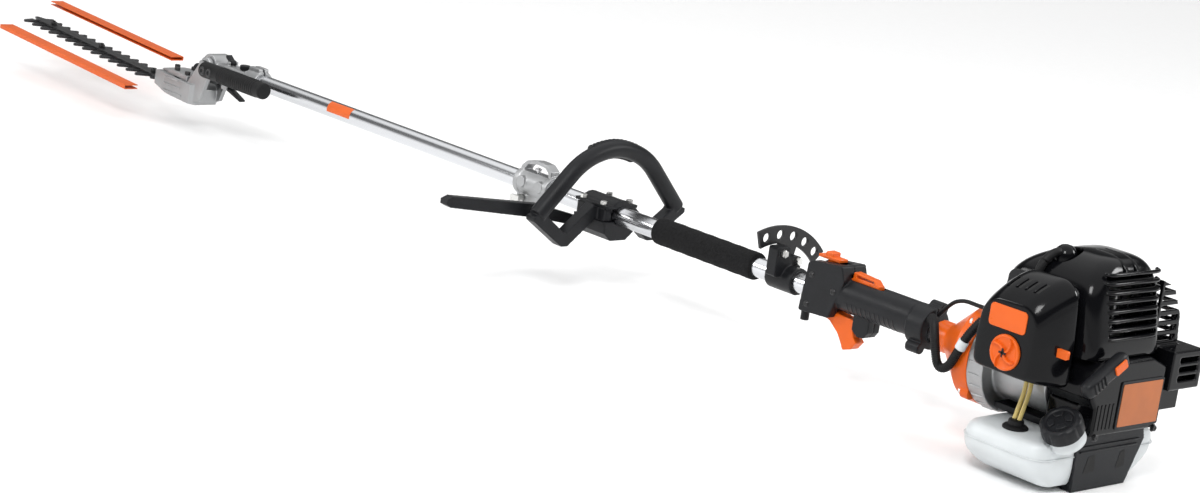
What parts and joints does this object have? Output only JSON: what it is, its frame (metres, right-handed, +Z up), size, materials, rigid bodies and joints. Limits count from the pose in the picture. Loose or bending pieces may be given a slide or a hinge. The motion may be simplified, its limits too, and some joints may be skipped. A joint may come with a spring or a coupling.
{
  "type": "petrol long-reach hedge trimmer",
  "caption": "Petrol long-reach hedge trimmer: engine with tank at one end of a two-piece shaft, tilting reciprocating cutter head at the other, two loose blade covers.",
  "frame": {"origin": "on the underside of the engine stand, straight below the cylinder", "axes": "+X back along the shaft towards the engine, -Y the operator's left, +Z up"},
  "size_m": [2.5033, 0.418, 0.267],
  "materials": {
    "orange_plastic": "moulded, slight sheen",
    "satin_black": "fine satin grain",
    "gloss_black": "polished moulding",
    "tube_aluminium": "drawn and anodised",
    "cast_aluminium": "as cast, matt",
    "steel": "machined",
    "blade_steel": "ground, oiled",
    "black_steel": "black oxide",
    "rubber_black": "moulded rubber",
    "foam_black": "closed-cell foam",
    "tank_milky": "translucent polyethylene",
    "fuel_hose": "translucent hose",
    "zinc": "zinc plated",
    "carb_brass": "cast body",
    "rope": "braided cord"
  },
  "bodies": {
    "machine": {"lower_tube": "tube_aluminium", "coupler_body": "cast_aluminium", "loop_handle": "satin_black", "loop_clamp_upper": "satin_black", "loop_clamp_lower": "satin_black", "barrier_bar": "satin_black", "clamp_bolts": "zinc", "foam_grip": "foam_black", "strap_clamp": "black_steel", "strap_hook_plate": "black_steel", "handle_left_shell": "satin_black", "handle_right_shell": "satin_black", "control_cables": "rubber_black", "clutch_housing": "orange_plastic", "crankcase": "cast_aluminium", "cylinder": "cast_aluminium", "spark_plug": "steel", "plug_boot": "rubber_black", "engine_shroud": "gloss_black", "carburettor": "carb_brass", "air_cleaner_base": "satin_black", "air_cleaner_cover": "gloss_black", "muffler": "steel", "muffler_guard": "gloss_black", "starter_housing": "gloss_black", "fuel_tank": "tank_milky", "fuel_lines": "fuel_hose", "engine_stand": "satin_black"},
    "attachment": {"upper_tube": "tube_aluminium", "pivot_housing": "cast_aluminium"},
    "cutter_head": {"gear_case": "cast_aluminium", "gear_case_cover": "cast_aluminium", "blade_guide_bar": "blade_steel", "blade_bolts": "zinc", "tilt_handle": "rubber_black"},
    "upper_blade_body": {"upper_blade": "blade_steel"},
    "lower_blade_body": {"lower_blade": "blade_steel"},
    "crank_gear_body": {"crank_gear": "steel"},
    "plunger": {"index_plunger": "zinc"},
    "cover_left": {"blade_cover_left": "orange_plastic"},
    "cover_right": {"blade_cover_right": "orange_plastic"},
    "release_lever": {"tilt_release_lever": "black_steel"},
    "lock_lever": {"tilt_lock_lever": "black_steel"},
    "collar_screw": {"collar_knob": "gloss_black"},
    "upper_shaft": {"upper_drive_shaft": "steel"},
    "lower_shaft": {"lower_drive_shaft": "steel"},
    "crank": {"crankshaft": "steel", "flywheel": "cast_aluminium"},
    "piston_body": {"piston": "cast_aluminium"},
    "throttle_trigger": {"trigger": "orange_plastic"},
    "lockout": {"lockout_lever": "orange_plastic"},
    "stop_slider": {"stop_switch": "orange_plastic"},
    "coupler_screw": {"coupler_knob": "zinc"},
    "lock_pin": {"coupler_lock_pin": "steel"},
    "cleaner_screw": {"cleaner_knob": "orange_plastic"},
    "choke": {"choke_lever": "orange_plastic"},
    "recoil_pulley": {"starter_pulley": "satin_black"},
    "starter_grip": {"starter_handle": "satin_black", "starter_rope": "rope"},
    "tank_cap": {"fuel_cap": "satin_black"}
  },
  "joints": [
    {"name": "attachment_pull_off", "type": "slide", "parent": "machine", "child": "attachment", "axis": [-1, 0, 0], "range_m": [0, 0.08]},
    {"name": "head_tilt", "type": "hinge", "parent": "attachment", "child": "cutter_head", "pos_m": [-1.69, 0, 0.112], "axis": [0, 1, 0], "range_deg": [-45, 30]},
    {"name": "upper_blade_stroke", "type": "slide", "parent": "cutter_head", "child": "upper_blade_body", "axis": [0.9989, 0, -0.0471], "range_m": [-0.006, 0.006]},
    {"name": "lower_blade_stroke", "type": "slide", "parent": "cutter_head", "child": "lower_blade_body", "axis": [0.9989, 0, -0.0471], "range_m": [-0.006, 0.006]},
    {"name": "crank_gear_spin", "type": "hinge", "parent": "cutter_head", "child": "crank_gear_body", "pos_m": [-1.76518, 0, 0.06749], "axis": [0.0471, 0, 0.9989], "continuous": true},
    {"name": "index_plunger_pull", "type": "slide", "parent": "cutter_head", "child": "plunger", "axis": [-0.9989, 0, 0.0471], "range_m": [0, 0.006], "stiffness_N_per_m": 800},
    {"name": "cover_left_seat", "type": "slide", "parent": "cutter_head", "child": "cover_left", "axis": [-0.6759, 0.7363, 0.0319], "range_m": [0, 0.0872]},
    {"name": "cover_right_seat", "type": "slide", "parent": "cutter_head", "child": "cover_right", "axis": [0.7903, -0.6115, -0.0373], "range_m": [0, 0.1491]},
    {"name": "release_lever_press", "type": "hinge", "parent": "attachment", "child": "release_lever", "pos_m": [-1.648, 0, 0.126], "axis": [0, -1, 0], "range_deg": [0, 12], "stiffness_Nm_per_rad": 0.05},
    {"name": "lock_lever_squeeze", "type": "hinge", "parent": "attachment", "child": "lock_lever", "pos_m": [-1.652, 0, 0.087], "axis": [0, -1, 0], "range_deg": [0, 12], "stiffness_Nm_per_rad": 0.4},
    {"name": "collar_knob_turn", "type": "hinge", "parent": "attachment", "child": "collar_screw", "pos_m": [-1.613, 0, 0.122], "axis": [0, 0, 1], "continuous": true},
    {"name": "upper_shaft_spin", "type": "hinge", "parent": "attachment", "child": "upper_shaft", "pos_m": [-1.3, 0, 0.112], "axis": [1, 0, 0], "continuous": true},
    {"name": "lower_shaft_spin", "type": "hinge", "parent": "machine", "child": "lower_shaft", "pos_m": [-0.5, 0, 0.112], "axis": [1, 0, 0], "continuous": true},
    {"name": "crank_spin", "type": "hinge", "parent": "machine", "child": "crank", "pos_m": [-0.05, 0, 0.112], "axis": [1, 0, 0], "continuous": true},
    {"name": "piston_stroke", "type": "slide", "parent": "machine", "child": "piston_body", "axis": [0, 0, 1], "range_m": [-0.032, 0]},
    {"name": "trigger_squeeze", "type": "hinge", "parent": "machine", "child": "throttle_trigger", "pos_m": [-0.332, 0, 0.092], "axis": [0, -1, 0], "range_deg": [0, 6], "stiffness_Nm_per_rad": 0.8},
    {"name": "lockout_press", "type": "hinge", "parent": "machine", "child": "lockout", "pos_m": [-0.3, 0, 0.136], "axis": [0, 1, 0], "range_deg": [0, 5], "stiffness_Nm_per_rad": 0.3},
    {"name": "stop_switch_slide", "type": "slide", "parent": "machine", "child": "stop_slider", "axis": [1, 0, 0], "range_m": [0, 0.006]},
    {"name": "coupler_knob_turn", "type": "hinge", "parent": "machine", "child": "coupler_screw", "pos_m": [-0.912, 0, 0.09], "axis": [0, 1, 0], "continuous": true},
    {"name": "coupler_pin_lift", "type": "slide", "parent": "machine", "child": "lock_pin", "axis": [0, 0, 1], "range_m": [0, 0.004], "stiffness_N_per_m": 600},
    {"name": "cleaner_knob_turn", "type": "hinge", "parent": "machine", "child": "cleaner_screw", "pos_m": [0.026, -0.108, 0.153], "axis": [0, 1, 0], "continuous": true},
    {"name": "choke_turn", "type": "hinge", "parent": "machine", "child": "choke", "pos_m": [0.062, -0.08, 0.165], "axis": [0, 1, 0], "range_deg": [0, 20]},
    {"name": "recoil_pulley_turn", "type": "hinge", "parent": "machine", "child": "recoil_pulley", "pos_m": [0.064, 0, 0.112], "axis": [1, 0, 0], "range_deg": [0, 1146]},
    {"name": "starter_pull", "type": "slide", "parent": "machine", "child": "starter_grip", "axis": [1, 0, 0], "range_m": [0, 0.6], "stiffness_N_per_m": 25, "springref_m": -0.4},
    {"name": "fuel_cap_turn", "type": "hinge", "parent": "machine", "child": "tank_cap", "pos_m": [0.09, -0.06, 0.072], "axis": [0, -0.6157, 0.788], "continuous": true}
  ],
  "couplings": [
    {"joint": "lower_blade_stroke", "follows": "upper_blade_stroke", "ratio": -1},
    {"joint": "upper_shaft_spin", "follows": "lower_shaft_spin", "ratio": 1},
    {"joint": "crank_gear_spin", "follows": "lower_shaft_spin", "ratio": 0.25},
    {"joint": "recoil_pulley_turn", "follows": "starter_pull", "rad_per_m": 33.333}
  ]
}
